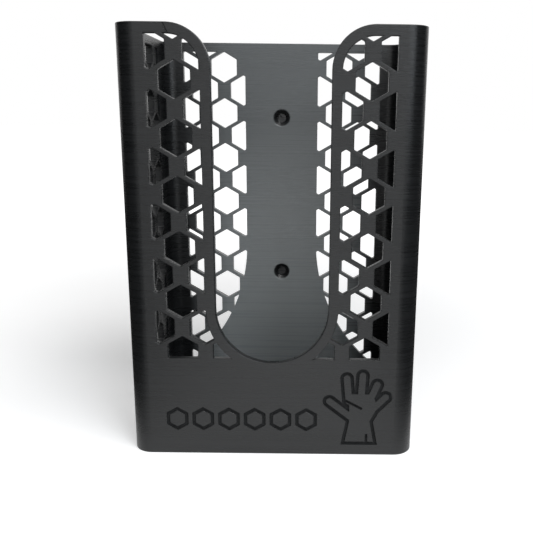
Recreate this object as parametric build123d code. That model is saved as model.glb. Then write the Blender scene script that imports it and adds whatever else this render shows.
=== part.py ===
from build123d import *
import os
from math import ceil, cos, floor, radians, sin, sqrt

# Upright holder for a box of disposable gloves, printed in one piece.
# Z is up, the origin is at the middle of the underside, the front faces -Y.

# Body: an open-topped box with rounded upright corners
width = 130.0
depth = 88.0
height = 190.0
wall = 3.4
floor_thickness = 3.4
corner_radius = 9.0

# U cut that opens the front wall to the top edge
cut_radius = 25.0
cut_centre_z = 69.5
ear_radius = 18.0

# Honeycomb windows: solid bands left round them
rim = 4.4
window_side_band = 13.0
front_window_bottom = 46.3
low_window_bottom = 14.0
side_window_half = 24.5

# Honeycomb cells: upright hexagons with wide upright bars and thin slanted ribs
cell_flats = 13.65
cell_bar = 6.75
cell_rib = 1.7
smallest_opening = 4.0
front_cell_x = 0.75
front_cell_z = 96.5
back_cell_x = 0.0
back_cell_z = 94.9
side_cell_y = 16.6
side_cell_z = 98.9

# Solid strip down the back wall, which flares out towards its foot
strip_half = 19.3
flare_radius = 92.0
flare_top_z = 83.0

# Two countersunk screw recesses in the strip, opening into the box
screw_spacing = 84.7
screw_middle_z = 109.55
screw_head_radius = 4.6
screw_bore_radius = 2.5
screw_web = 0.5

# Grooves in the lower front panel
groove_width = 1.6
groove_depth = 0.8

# Row of plain hexagon outlines
badge_count = 6
badge_flats = 10.0
badge_pitch = 11.8
badge_row_x = -14.0
badge_row_z = 17.2

# Open glove outline: cuff, palm, four fingers and thumb
glove_x = 40.0
glove_z = 5.0
cuff_half = 8.5
waist_half = 6.3
waist_z = 11.5
palm_half = 6.4
palm_top_z = 26.6
knuckle_x = 8.6
knuckle_z = 22.6
palm_bulge = 8.9
palm_bulge_z = 16.6
finger_radius = 3.1
finger_roots = ((-5.0, 21.5), (0.5, 22.5), (4.8, 22.5), (6.7, 18.5))
finger_lengths = (11.2, 11.6, 7.8, 7.2)
finger_leans = (-5.5, 3.0, 22.0, 44.0)
thumb_root = (-2.4, 12.5)
thumb_length = 14.6
thumb_lean = -52.0
crease_start = (-6.6, 21.9)
crease_length = 8.2
crease_lean = 118.0
crease_radius = 0.6
slit_x = 3.3
slit_width = 1.2
slit_top_z = 5.4

# Values that follow from the sizes above
front_wall = Plane.XZ.offset((depth - wall) / 2)
back_wall = Plane.XZ.offset((wall - depth) / 2)
front_face = Plane.XZ.offset(depth / 2)
window_half = width / 2 - window_side_band
window_top = height - rim
ear_start = cut_radius + ear_radius
ear_centre_z = height - ear_radius
hexagon_sides = 6
half_side_angle = 180 / hexagon_sides
rib_normal = radians(2 * half_side_angle)
column_step = (cell_flats + cell_bar) / 2
row_step = (cell_flats + cell_rib - column_step * cos(rib_normal)) / sin(rib_normal)


def box_section(inset):
    """Rounded rectangle of the plan, smaller by inset all round."""
    return RectangleRounded(width - 2 * inset, depth - 2 * inset, corner_radius - inset)


def hexagon(flats):
    """Upright hexagon of a given width across its flats."""
    return RegularPolygon(flats / sqrt(3), hexagon_sides, rotation=half_side_angle)


def u_half(band):
    """Right half of the U cut as a face, widened by band and run past the top edge."""
    radius = cut_radius + band
    bottom = CenterArc((0, cut_centre_z), radius, -90, 90)
    side = Line((radius, cut_centre_z), (radius, ear_centre_z))
    shoulder = CenterArc((ear_start, ear_centre_z), ear_radius - band, 180, -90)
    top_z = height + wall
    over = Polyline(shoulder @ 1, (ear_start, top_z), (0, top_z), bottom @ 0)
    return make_face([bottom, side, shoulder, over])


def front_window():
    """Right front window: it follows the U cut at the rim's distance."""
    tall = window_top - front_window_bottom
    area = Pos(0, front_window_bottom) * Rectangle(window_half, tall, align=(Align.MIN, Align.MIN))
    return area - u_half(rim)


def back_window():
    """Right back window: its inner side follows the strip and the strip's flare."""
    tall = window_top - low_window_bottom
    start = (strip_half, low_window_bottom)
    side = window_half - strip_half
    area = Pos(*start) * Rectangle(side, tall, align=(Align.MIN, Align.MIN))
    flare_x = strip_half + flare_radius
    foot = Pos(*start) * Rectangle(side, flare_top_z - low_window_bottom, align=(Align.MIN, Align.MIN))
    return area - (foot - Pos(flare_x, flare_top_z) * Circle(flare_radius))


def side_window():
    """Window in both side walls."""
    tall = window_top - low_window_bottom
    align = (Align.CENTER, Align.MIN)
    return Pos(0, low_window_bottom) * Rectangle(2 * side_window_half, tall, align=align)


def honeycomb(window, start_x, start_z):
    """Hexagonal openings of one lattice, clipped to the outline of a window."""
    cell = hexagon(cell_flats)
    low = window.bounding_box().min
    high = window.bounding_box().max
    openings = []
    first = floor((low.X - start_x) / column_step)
    last = ceil((high.X - start_x) / column_step)
    for column in range(first, last + 1):
        x = start_x + column * column_step
        base_z = start_z + (column % 2) * row_step
        lowest = floor((low.Y - base_z) / (2 * row_step))
        highest = ceil((high.Y - base_z) / (2 * row_step))
        for row in range(lowest, highest + 1):
            clipped = window & (Pos(x, base_z + row * 2 * row_step) * cell)
            if clipped:
                openings += [face for face in clipped.faces() if face.area > smallest_opening]
    return openings


def solid_corner(face):
    """True for the piece of cell in the left back window's upper inner corner."""
    centre = face.center()
    beside_strip = -strip_half - column_step < centre.X < -strip_half
    return beside_strip and centre.Y > window_top - rim


def screw_recess(z):
    """Countersunk blind hole that opens into the box and stops at a thin web."""
    sink = screw_head_radius - screw_bore_radius
    bottom = wall - screw_web
    profile = Polyline(
        (0, -wall),
        (screw_head_radius, -wall),
        (screw_head_radius, 0),
        (screw_bore_radius, sink),
        (screw_bore_radius, bottom),
        (0, bottom),
        close=True,
    )
    recess = revolve(Plane.XZ * make_face(profile), Axis.Z)
    mouth = Plane((0, depth / 2 - wall, z), x_dir=(1, 0, 0), z_dir=(0, 1, 0))
    return mouth * recess


def bar(start, length, lean, radius):
    """Round-ended bar from a start point, leaning from upright towards +X."""
    across = sin(radians(lean)) * length / 2
    up = cos(radians(lean)) * length / 2
    slot = Rot(0, 0, 90 - lean) * SlotCenterToCenter(length, 2 * radius)
    return Pos(start[0] + across, start[1] + up) * slot


def glove(inset):
    """Face of the open glove, drawn smaller by inset all round."""
    palm = make_face(
        Polyline(
            (-cuff_half, 0),
            (cuff_half, 0),
            (waist_half, waist_z),
            (palm_bulge, palm_bulge_z),
            (knuckle_x, knuckle_z),
            (palm_half, palm_top_z),
            (-palm_half, palm_top_z),
            (-waist_half, waist_z),
            close=True,
        )
    )
    if inset:
        palm = offset(palm, -inset, kind=Kind.INTERSECTION)
    shape = palm + bar(thumb_root, thumb_length, thumb_lean, finger_radius - inset)
    for root, length, lean in zip(finger_roots, finger_lengths, finger_leans):
        shape += bar(root, length, lean, finger_radius - inset)
    return shape


def glove_groove():
    """Outline groove of the glove with its palm crease and cuff slit."""
    lines = glove(0) - glove(groove_width)
    lines += bar(crease_start, crease_length, crease_lean, crease_radius)
    slit = Rectangle(slit_width, slit_top_z, align=(Align.CENTER, Align.MIN))
    lines += Pos(slit_x, 0) * slit
    return Pos(glove_x, glove_z) * lines


def badge_grooves():
    """Row of hexagon outline grooves."""
    outline = hexagon(badge_flats) - hexagon(badge_flats - 2 * groove_width)
    first = badge_row_x - (badge_count - 1) * badge_pitch / 2
    return [Pos(first + i * badge_pitch, badge_row_z) * outline for i in range(badge_count)]


def both_sides(shape):
    """A shape and its mirror image across the middle of the holder."""
    return shape + mirror(shape, Plane.YZ)


# Box with its floor
holder = extrude(box_section(0), height)
holder -= Pos(0, 0, floor_thickness) * extrude(box_section(wall), height)

# U cut through the front wall
holder -= extrude(front_wall * both_sides(u_half(0)), wall, both=True)

# Honeycomb openings in the front, back and side walls
cutters = []
for face in honeycomb(both_sides(front_window()), front_cell_x, front_cell_z):
    cutters.append(extrude(front_wall * face, wall, both=True))
for face in honeycomb(both_sides(back_window()), back_cell_x, back_cell_z):
    if not solid_corner(face):
        cutters.append(extrude(back_wall * face, wall, both=True))
for face in honeycomb(side_window(), side_cell_y, side_cell_z):
    cutters.append(extrude(Plane.YZ * face, width / 2 + wall, both=True))
holder -= cutters

# Screw recesses in the back strip
holder -= screw_recess(screw_middle_z - screw_spacing / 2)
holder -= screw_recess(screw_middle_z + screw_spacing / 2)

# Grooves in the lower front panel
for drawing in [glove_groove()] + badge_grooves():
    holder -= extrude(front_face * drawing, groove_depth, both=True)

solid = holder.solids()[0]
solid.label = "glove_box_holder"
box = solid.bounding_box()
print("solids", len(holder.solids()), "valid", solid.is_valid, "faces", len(solid.faces()))
print("size", [round(value, 3) for value in box.size], "volume cm3", round(solid.volume / 1000, 2))

os.makedirs("parts", exist_ok=True)
export_step(solid, "parts/glove_box_holder.step")
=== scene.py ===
from math import pi, radians

import bpy
from mathutils import Matrix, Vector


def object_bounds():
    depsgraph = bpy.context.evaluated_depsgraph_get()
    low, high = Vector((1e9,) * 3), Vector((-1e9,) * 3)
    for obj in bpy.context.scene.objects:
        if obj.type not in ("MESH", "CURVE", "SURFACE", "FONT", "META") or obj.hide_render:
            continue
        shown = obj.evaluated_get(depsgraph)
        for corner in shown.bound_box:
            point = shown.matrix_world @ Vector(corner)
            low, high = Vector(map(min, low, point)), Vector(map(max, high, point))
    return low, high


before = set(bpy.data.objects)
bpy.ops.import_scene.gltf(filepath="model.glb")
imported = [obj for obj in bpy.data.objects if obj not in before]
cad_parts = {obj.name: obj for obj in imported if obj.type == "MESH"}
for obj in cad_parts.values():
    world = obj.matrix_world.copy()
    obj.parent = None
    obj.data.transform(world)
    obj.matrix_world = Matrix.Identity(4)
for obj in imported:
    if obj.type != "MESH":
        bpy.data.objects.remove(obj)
cad_low, cad_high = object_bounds()
scene = bpy.context.scene
scene.view_settings.view_transform = "Standard"

# Camera
# It stands 29 cm in front of the holder, level with its upper part, and looks
# down by about thirteen degrees.
camera_place = (0.018828, -0.329349, 0.154962)
look_down = 12.909
turn_right = 0.132
roll_left = 0.682

camera_data = bpy.data.cameras.new("camera")
camera_data.sensor_width = 36.0
camera_data.lens = 45.397
camera_data.shift_x = -0.0938
camera_data.clip_start = 0.01
camera = bpy.data.objects.new("camera", camera_data)
scene.collection.objects.link(camera)
camera_turn = Matrix.Rotation(radians(-turn_right), 4, "Z")
camera_tilt = Matrix.Rotation(radians(90 - look_down), 4, "X")
camera_roll = Matrix.Rotation(radians(roll_left), 4, "Z")
camera.matrix_world = Matrix.Translation(camera_place) @ camera_turn @ camera_tilt @ camera_roll
scene.camera = camera

# Floor
# A wide sheet of white paper that the holder stands on. Its own light shows only
# where it is looked at, so it reads white and still takes the shadow. That light
# is weakest near a point just behind the holder, a painted shade on the paper
# behind and around it. In the holder's gloss only, the paper turns dark on both
# sides of it, a painted dark reflection.
floor_reach = 6.0
paper_colour = (0.80, 0.80, 0.80, 1)
# Painted shade: the paper's own light is weakest here, just behind the holder, and grows with the
# distance from it.
painted_shade_middle = (0, 0.12, 0)
glow_reach = 0.65
glow_levels = ((0.12, 0.36), (0.30, 0.50), (1.0, 0.95))
# Painted dark reflection: beyond these distances from the middle line the paper turns dark in the
# holder's gloss only, while the camera still sees it white.
dark_reflection_colour = (0.06, 0.06, 0.06, 1)
dark_reflection_from = 0.055
dark_reflection_full = 0.12

floor_mesh = bpy.data.meshes.new("paper_floor")
floor_corners = [(-floor_reach, -floor_reach, 0), (floor_reach, -floor_reach, 0),
                 (floor_reach, floor_reach, 0), (-floor_reach, floor_reach, 0)]
floor_mesh.from_pydata(floor_corners, [], [(0, 1, 2, 3)])
paper_floor = bpy.data.objects.new("paper_floor", floor_mesh)
scene.collection.objects.link(paper_floor)


def feed(tree, part, socket):
    """Give a socket another node's output, or a plain value."""
    if isinstance(part, bpy.types.NodeSocket):
        tree.links.new(part, socket)
    else:
        socket.default_value = part


def worked_out(tree, operation, *parts):
    """Sum, product or the like of outputs and plain numbers."""
    node = tree.nodes.new("ShaderNodeMath")
    node.operation = operation
    for part, socket in zip(parts, node.inputs):
        feed(tree, part, socket)
    return node.outputs[0]


def fade(tree, value, start, end, low=0.0, high=1.0):
    """Even change from low, where the value is start, to high, where it is end."""
    node = tree.nodes.new("ShaderNodeMapRange")
    tree.links.new(value, node.inputs["Value"])
    node.inputs["From Min"].default_value = start
    node.inputs["From Max"].default_value = end
    node.inputs["To Min"].default_value = low
    node.inputs["To Max"].default_value = high
    return node.outputs[0]


def ramp(tree, value, stops):
    """Colours along a value, one at each stop's position."""
    node = tree.nodes.new("ShaderNodeValToRGB")
    tree.links.new(value, node.inputs["Fac"])
    elements = node.color_ramp.elements
    while len(elements) < len(stops):
        elements.new(0.5)
    for element, (position, colour) in zip(elements, stops):
        element.position = position
        element.color = colour
    return node.outputs["Color"]


def x_y_z(tree, place):
    """The three parts of a place, as outputs named X, Y and Z."""
    node = tree.nodes.new("ShaderNodeSeparateXYZ")
    tree.links.new(place, node.inputs[0])
    return node.outputs


paper = bpy.data.materials.new("white_paper")
paper.use_nodes = True
tree = paper.node_tree
tree.nodes.clear()
on_paper = tree.nodes.new("ShaderNodeTexCoord").outputs["Object"]
ray = tree.nodes.new("ShaderNodeLightPath").outputs

# Painted shade on the paper: its own light grows with the distance from a point just behind the holder.
from_middle = tree.nodes.new("ShaderNodeVectorMath")
from_middle.operation = "DISTANCE"
from_middle.inputs[1].default_value = painted_shade_middle
tree.links.new(on_paper, from_middle.inputs[0])
way_out = fade(tree, from_middle.outputs["Value"], 0.0, glow_reach)
glow_with_painted_shade = ramp(tree, way_out, [(way, (level, level, level, 1)) for way, level in glow_levels])
seen = worked_out(tree, "MAXIMUM", ray["Is Camera Ray"], ray["Is Glossy Ray"])
seen = worked_out(tree, "MAXIMUM", seen, ray["Is Transmission Ray"])

paper_surface = tree.nodes.new("ShaderNodeBsdfDiffuse")
paper_surface.inputs["Color"].default_value = paper_colour
paper_glow = tree.nodes.new("ShaderNodeEmission")
paper_glow.inputs["Color"].default_value = (1, 1, 1, 1)
feed(tree, worked_out(tree, "MULTIPLY", seen, glow_with_painted_shade), paper_glow.inputs["Strength"])
glowing_paper = tree.nodes.new("ShaderNodeAddShader")
tree.links.new(paper_surface.outputs[0], glowing_paper.inputs[0])
tree.links.new(paper_glow.outputs[0], glowing_paper.inputs[1])

# Painted dark reflection: on both sides the paper shows dark to glossy rays only.
painted_dark_reflection = tree.nodes.new("ShaderNodeBsdfDiffuse")
painted_dark_reflection.inputs["Color"].default_value = dark_reflection_colour
from_centre_line = worked_out(tree, "ABSOLUTE", x_y_z(tree, on_paper)["X"])
in_dark_reflection = fade(tree, from_centre_line, dark_reflection_from, dark_reflection_full)
paper_or_dark_reflection = tree.nodes.new("ShaderNodeMixShader")
feed(tree, worked_out(tree, "MULTIPLY", in_dark_reflection, ray["Is Glossy Ray"]), paper_or_dark_reflection.inputs["Fac"])
tree.links.new(glowing_paper.outputs[0], paper_or_dark_reflection.inputs[1])
tree.links.new(painted_dark_reflection.outputs[0], paper_or_dark_reflection.inputs[2])
paper_out = tree.nodes.new("ShaderNodeOutputMaterial")
tree.links.new(paper_or_dark_reflection.outputs[0], paper_out.inputs["Surface"])
floor_mesh.materials.append(paper)

# Room
# A white backdrop behind the holder, a white ceiling, and a dim room at its sides
# and in front, as its gloss sees them. The camera sees plain white all round.
white = 1.0
dim_gloss = 0.03
light_on_surfaces = 0.15
backdrop_from, backdrop_full = 0.35, 0.75
ceiling_from, ceiling_full = 0.50, 0.85


def mixed(tree, data_type, amount, first, second):
    """Mix that goes from the first to the second with the amount."""
    node = tree.nodes.new("ShaderNodeMix")
    node.data_type = data_type
    feed(tree, amount, node.inputs["Factor"])
    feed(tree, first, node.inputs["A"])
    feed(tree, second, node.inputs["B"])
    return node.outputs["Result"]


room = bpy.data.worlds.new("studio_room")
scene.world = room
room.use_nodes = True
tree = room.node_tree
tree.nodes.clear()
ray = tree.nodes.new("ShaderNodeLightPath").outputs
way = x_y_z(tree, tree.nodes.new("ShaderNodeTexCoord").outputs["Generated"])
backdrop = fade(tree, way["Y"], backdrop_from, backdrop_full, dim_gloss, white)
ceiling = fade(tree, way["Z"], ceiling_from, ceiling_full)
room_in_gloss = worked_out(tree, "MAXIMUM", backdrop, ceiling)
room_unseen = mixed(tree, "FLOAT", ray["Is Glossy Ray"], light_on_surfaces, room_in_gloss)
seen = worked_out(tree, "MAXIMUM", ray["Is Camera Ray"], ray["Is Transmission Ray"])
room_light = tree.nodes.new("ShaderNodeBackground")
room_light.inputs["Color"].default_value = (1, 1, 1, 1)
feed(tree, mixed(tree, "FLOAT", seen, room_unseen, white), room_light.inputs["Strength"])
room_out = tree.nodes.new("ShaderNodeOutputWorld")
tree.links.new(room_light.outputs[0], room_out.inputs["Surface"])

# Lamps
# Three square soft boxes: a wide low one in front, one to the right of it for
# the cool sheen at the top right, and a high one that throws the shadow left.
holder_middle = (cad_low + cad_high) / 2
neutral = (1.0, 1.0, 1.0)
slightly_cool = (0.98, 0.99, 1.0)
cool = (0.88, 0.94, 1.0)


def soft_box(name, place, size, radiance, colour):
    """Square lamp that faces the holder's middle."""
    lamp_data = bpy.data.lights.new(name, "AREA")
    lamp_data.shape = "SQUARE"
    lamp_data.size = size
    lamp_data.energy = radiance * pi * size * size
    lamp_data.color = colour
    lamp = bpy.data.objects.new(name, lamp_data)
    scene.collection.objects.link(lamp)
    lamp.location = place
    back = lamp.location - holder_middle
    lamp.rotation_mode = "QUATERNION"
    lamp.rotation_quaternion = back.to_track_quat("Z", "Y")
    lamp.visible_camera = False


soft_box("front_box", place=(-0.10, -1.30, 0.50), size=1.30, radiance=1.22, colour=slightly_cool)
soft_box("right_box", place=(0.60, -1.00, 0.78), size=0.60, radiance=5.20, colour=cool)
soft_box("key_box", place=(0.58, -0.62, 1.40), size=0.70, radiance=8.2, colour=neutral)

# Holder
# One piece of black plastic, printed standing up in fine level layers. Its edges
# are left as the nozzle lays them, rounded by about a quarter of a millimetre,
# apart from those round the glove, whose corners are too tight for it.
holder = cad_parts["glove_box_holder"]
wall = 0.0034
corner_radius = 0.009
front_y = cad_low.y
inner_back_y = cad_high.y - wall
flat_half = cad_high.x - corner_radius
corner_angle = radians(25)
edge_rounding = 0.00028
glove_middle = (0.0395, front_y, 0.022)
glove_reach = 0.0213
same_point = 0.000005
flat_face_weight = 60

smooth_walls = bpy.data.node_groups.new("holder_shading", "GeometryNodeTree")
smooth_walls.interface.new_socket("Geometry", in_out="INPUT", socket_type="NodeSocketGeometry")
smooth_walls.interface.new_socket("Geometry", in_out="OUTPUT", socket_type="NodeSocketGeometry")
nodes, links = smooth_walls.nodes, smooth_walls.links
group_in = nodes.new("NodeGroupInput")
joined = nodes.new("GeometryNodeMergeByDistance")
joined.inputs["Distance"].default_value = same_point
links.new(group_in.outputs[0], joined.inputs["Geometry"])
old_normals = nodes.new("GeometryNodeRemoveAttribute")
old_normals.inputs["Name"].default_value = "custom_normal"
links.new(joined.outputs["Geometry"], old_normals.inputs["Geometry"])

edge_angle = nodes.new("GeometryNodeInputMeshEdgeAngle")
is_corner = nodes.new("FunctionNodeCompare")
is_corner.data_type = "FLOAT"
is_corner.operation = "GREATER_THAN"
is_corner.inputs["B"].default_value = corner_angle
links.new(edge_angle.outputs["Unsigned Angle"], is_corner.inputs["A"])
sharp_edges = nodes.new("GeometryNodeSetShadeSmooth")
sharp_edges.domain = "EDGE"
sharp_edges.inputs["Shade Smooth"].default_value = False
links.new(old_normals.outputs["Geometry"], sharp_edges.inputs["Geometry"])
links.new(is_corner.outputs["Result"], sharp_edges.inputs["Selection"])

edge_place = nodes.new("GeometryNodeInputPosition")
from_glove = nodes.new("ShaderNodeVectorMath")
from_glove.operation = "DISTANCE"
from_glove.inputs[1].default_value = glove_middle
links.new(edge_place.outputs[0], from_glove.inputs[0])
clear_of_glove = nodes.new("FunctionNodeCompare")
clear_of_glove.data_type = "FLOAT"
clear_of_glove.operation = "GREATER_THAN"
clear_of_glove.inputs["B"].default_value = glove_reach
links.new(from_glove.outputs["Value"], clear_of_glove.inputs["A"])
is_rounded = nodes.new("FunctionNodeBooleanMath")
is_rounded.operation = "AND"
links.new(is_corner.outputs["Result"], is_rounded.inputs[0])
links.new(clear_of_glove.outputs["Result"], is_rounded.inputs[1])
rounded_edges = nodes.new("GeometryNodeStoreNamedAttribute")
rounded_edges.data_type = "FLOAT"
rounded_edges.domain = "EDGE"
rounded_edges.inputs["Name"].default_value = "bevel_weight_edge"
links.new(is_rounded.outputs[0], rounded_edges.inputs["Value"])
links.new(sharp_edges.outputs["Geometry"], rounded_edges.inputs["Geometry"])
group_out = nodes.new("NodeGroupOutput")
links.new(rounded_edges.outputs["Geometry"], group_out.inputs[0])

shading = holder.modifiers.new("shading", "NODES")
shading.node_group = smooth_walls
nozzle_edge = holder.modifiers.new("nozzle_edge", "BEVEL")
nozzle_edge.width = edge_rounding
nozzle_edge.segments = 2
nozzle_edge.limit_method = "WEIGHT"
nozzle_edge.use_clamp_overlap = False
flat_walls = holder.modifiers.new("flat_walls", "WEIGHTED_NORMAL")
flat_walls.mode = "FACE_AREA"
flat_walls.weight = flat_face_weight
flat_walls.keep_sharp = True

deep_black = (0.0052, 0.0056, 0.0060, 1)
streak_black = (0.0090, 0.0097, 0.0103, 1)
smoothest, roughest = 0.24, 0.33
layer_height = 0.0002
layer_depth, layer_strength = 0.000016, 0.8
streak_grain = (14, 14, 1100)
streak_depth, streak_strength = 0.000015, 0.2
streak_low, streak_high = 0.3, 0.7
seam_across = (0.915, 0, 0.403)
seam_offset = 0.03627
seam_core, seam_half = 0.00012, 0.00040
seam_foot_z, seam_full_z = 0.1852, 0.1860
seam_end_y, seam_full_y = front_y + 0.0020, front_y + 0.0004
seam_depth, seam_strength = 0.0003, 1.0
# Painted light: the inner face of the back wall is painted a paler grey, palest at its foot.
back_foot_painted_light = (0.245, 0.262, 0.266, 1)
back_top_painted_light = (0.085, 0.092, 0.094, 1)
back_foot_z, back_top_z = 0.045, 0.150
painted_light_half, painted_light_end = 0.030, 0.052
back_face_y = [inner_back_y + step for step in (-0.0008, -0.0002, 0.0001, 0.0006)]
groove_floor_y = [front_y + depth for depth in (0.0001, 0.0006, 0.0009, 0.0010)]
groove_end_x, groove_full_x = flat_half - 0.0012, flat_half - 0.0020
groove_roughness = 1.0


def band(tree, value, start, full, still_full, end):
    """1 from full to still_full, fading to 0 at start and at end."""
    rise = fade(tree, value, start, full)
    fall = fade(tree, value, end, still_full)
    return worked_out(tree, "MULTIPLY", rise, fall)


def bumped(tree, height, strength, depth, under=None, sunk=False):
    """Small relief of a height, laid over the relief under it."""
    node = tree.nodes.new("ShaderNodeBump")
    node.invert = sunk
    node.inputs["Strength"].default_value = strength
    node.inputs["Distance"].default_value = depth
    tree.links.new(height, node.inputs["Height"])
    if under is not None:
        tree.links.new(under, node.inputs["Normal"])
    return node.outputs[0]


black_plastic = bpy.data.materials.new("black_printed_plastic")
black_plastic.use_nodes = True
tree = black_plastic.node_tree
nodes, links = tree.nodes, tree.links
nodes.clear()
place = nodes.new("ShaderNodeTexCoord").outputs["Object"]
spot = x_y_z(tree, place)
from_middle_line = worked_out(tree, "ABSOLUTE", spot["X"])

# The bands of a wave of scale 1 repeat every pi / 10.
layers = nodes.new("ShaderNodeTexWave")
layers.bands_direction = "Z"
layers.inputs["Scale"].default_value = pi / 10 / layer_height
layers.inputs["Distortion"].default_value = 0.0
links.new(place, layers.inputs["Vector"])
level_streaks = nodes.new("ShaderNodeMapping")
level_streaks.inputs["Scale"].default_value = streak_grain
links.new(place, level_streaks.inputs["Vector"])
streaks = nodes.new("ShaderNodeTexNoise")
streaks.inputs["Scale"].default_value = 1.0
streaks.inputs["Detail"].default_value = 3.0
links.new(level_streaks.outputs[0], streaks.inputs["Vector"])
streak = streaks.outputs["Fac"]

# The seam is a short slanted line on the front, at the start of the left ear.
across_seam = nodes.new("ShaderNodeVectorMath")
across_seam.operation = "DOT_PRODUCT"
across_seam.inputs[1].default_value = seam_across
links.new(place, across_seam.inputs[0])
from_seam = worked_out(tree, "SUBTRACT", across_seam.outputs["Value"], seam_offset)
beside_seam = worked_out(tree, "ABSOLUTE", from_seam)
seam = fade(tree, beside_seam, seam_half, seam_core)
seam = worked_out(tree, "MULTIPLY", seam, fade(tree, spot["Z"], seam_foot_z, seam_full_z))
seam = worked_out(tree, "MULTIPLY", seam, fade(tree, spot["Y"], seam_end_y, seam_full_y))

relief = bumped(tree, streak, streak_strength, streak_depth)
relief = bumped(tree, layers.outputs["Fac"], layer_strength, layer_depth, under=relief)
relief = bumped(tree, seam, seam_strength, seam_depth, under=relief, sunk=True)

# The inner face of the back wall is painted paler, a painted sheen of light,
# most of all at its foot, where the front wall shades it.
back_face = band(tree, spot["Y"], *back_face_y)
between_windows = fade(tree, from_middle_line, painted_light_end, painted_light_half)
painted_light_on_back = worked_out(tree, "MULTIPLY", back_face, between_windows)
up_the_back = fade(tree, spot["Z"], back_foot_z, back_top_z)
painted_back_light = ramp(tree, up_the_back, ((0.0, back_foot_painted_light), (1.0, back_top_painted_light)))
plastic_tone = ramp(tree, streak, ((streak_low, deep_black), (streak_high, streak_black)))
tone = mixed(tree, "RGBA", painted_light_on_back, plastic_tone, painted_back_light)

# The floors of the grooves in the front are dull.
on_flat_front = fade(tree, from_middle_line, groove_end_x, groove_full_x)
groove_floor = worked_out(tree, "MULTIPLY", band(tree, spot["Y"], *groove_floor_y), on_flat_front)
streak_gloss = fade(tree, streak, streak_low, streak_high, smoothest, roughest)
roughness = mixed(tree, "FLOAT", groove_floor, streak_gloss, groove_roughness)

plastic_surface = nodes.new("ShaderNodeBsdfPrincipled")
plastic_surface.inputs["Specular IOR Level"].default_value = 0.50
links.new(tone, plastic_surface.inputs["Base Color"])
links.new(roughness, plastic_surface.inputs["Roughness"])
links.new(relief, plastic_surface.inputs["Normal"])
plastic_out = nodes.new("ShaderNodeOutputMaterial")
links.new(plastic_surface.outputs[0], plastic_out.inputs["Surface"])
for slot in holder.material_slots:
    slot.material = black_plastic
